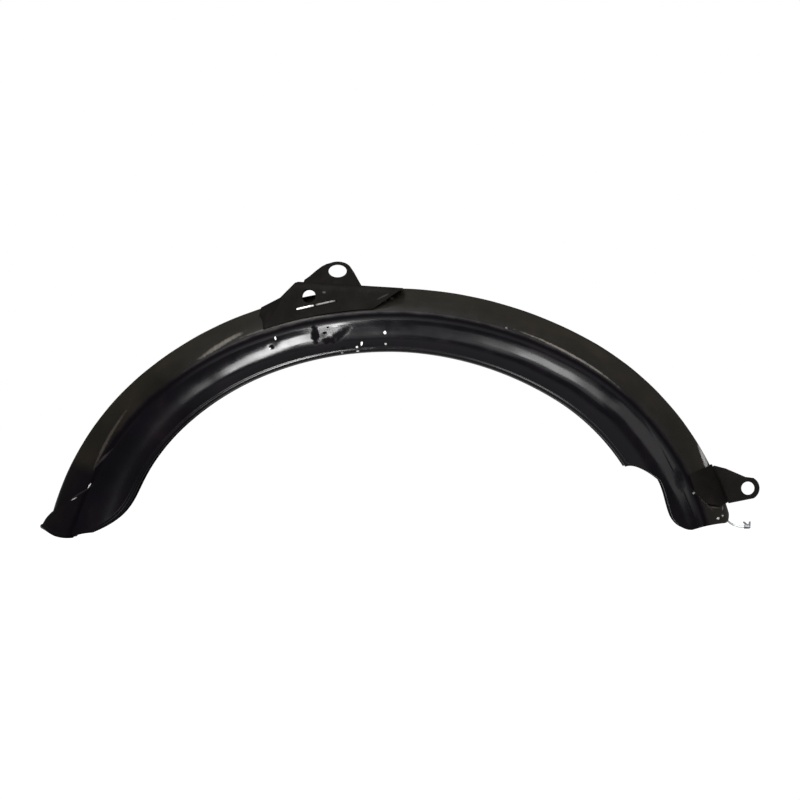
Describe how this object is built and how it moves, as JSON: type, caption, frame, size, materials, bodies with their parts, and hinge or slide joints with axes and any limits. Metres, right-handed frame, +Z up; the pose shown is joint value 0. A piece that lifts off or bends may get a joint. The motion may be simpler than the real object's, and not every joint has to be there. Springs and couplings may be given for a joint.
{
  "type": "motorcycle rear fender",
  "caption": "Black pressed-steel rear fender of a small motorcycle with a flared tail, a saddle bracket with an ear, a front lug and a short lead.",
  "frame": {"origin": "on the floor under the middle of the part's outline, with both ends of the arch on the floor", "axes": "+X forwards to the front lug, +Y to the left side away from the picture's camera, +Z up"},
  "size_m": [0.7556, 0.1392, 0.2861],
  "materials": {
    "paint": "gloss",
    "bare_metal": "satin",
    "lead_cover": "matte"
  },
  "bodies": {
    "root": {"shell": "paint", "saddle": "paint", "ear": "paint", "lug_foot": "paint", "lug": "paint", "clip": "bare_metal", "lead": "lead_cover", "terminal": "bare_metal"}
  },
  "joints": []
}
